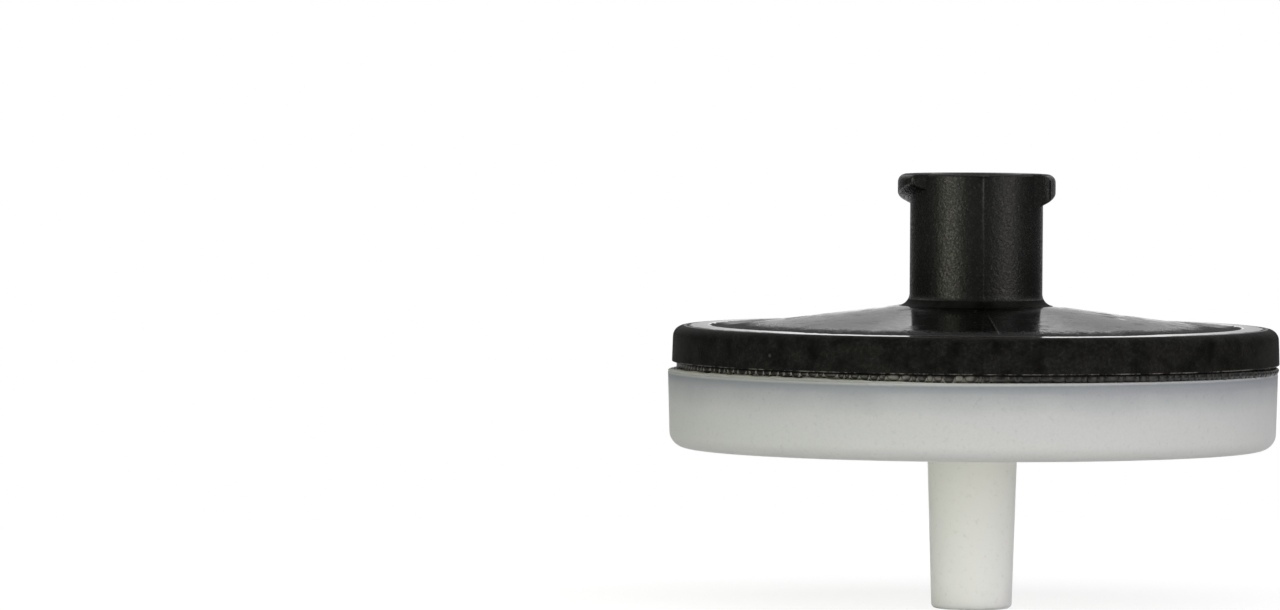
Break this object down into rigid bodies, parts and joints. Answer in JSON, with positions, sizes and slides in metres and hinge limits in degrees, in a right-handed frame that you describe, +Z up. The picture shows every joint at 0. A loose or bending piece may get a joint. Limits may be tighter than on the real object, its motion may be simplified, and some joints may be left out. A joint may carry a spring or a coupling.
{
  "type": "syringe filter",
  "caption": "Round syringe filter: a black inlet half with a lugged female hub, welded to a natural outlet half with a tapered male tip, round a clamped membrane.",
  "frame": {"origin": "centre of the outlet tip's end face, the lowest point of the part", "axes": "+Z up along the flow axis, from the outlet tip to the inlet hub; the pair of thread lugs lies 5.5 degrees from the X axis, turned towards +Y"},
  "size_m": [0.0298, 0.0298, 0.0213],
  "materials": {
    "black_plastic": "moulded polypropylene, glossy cone, fine spark texture on the hub and the rim",
    "membrane": "matt porous sheet",
    "natural_plastic": "translucent natural polypropylene, satin"
  },
  "bodies": {
    "root": {"inlet_housing": "black_plastic", "membrane": "membrane", "outlet_housing": "natural_plastic"}
  },
  "joints": []
}
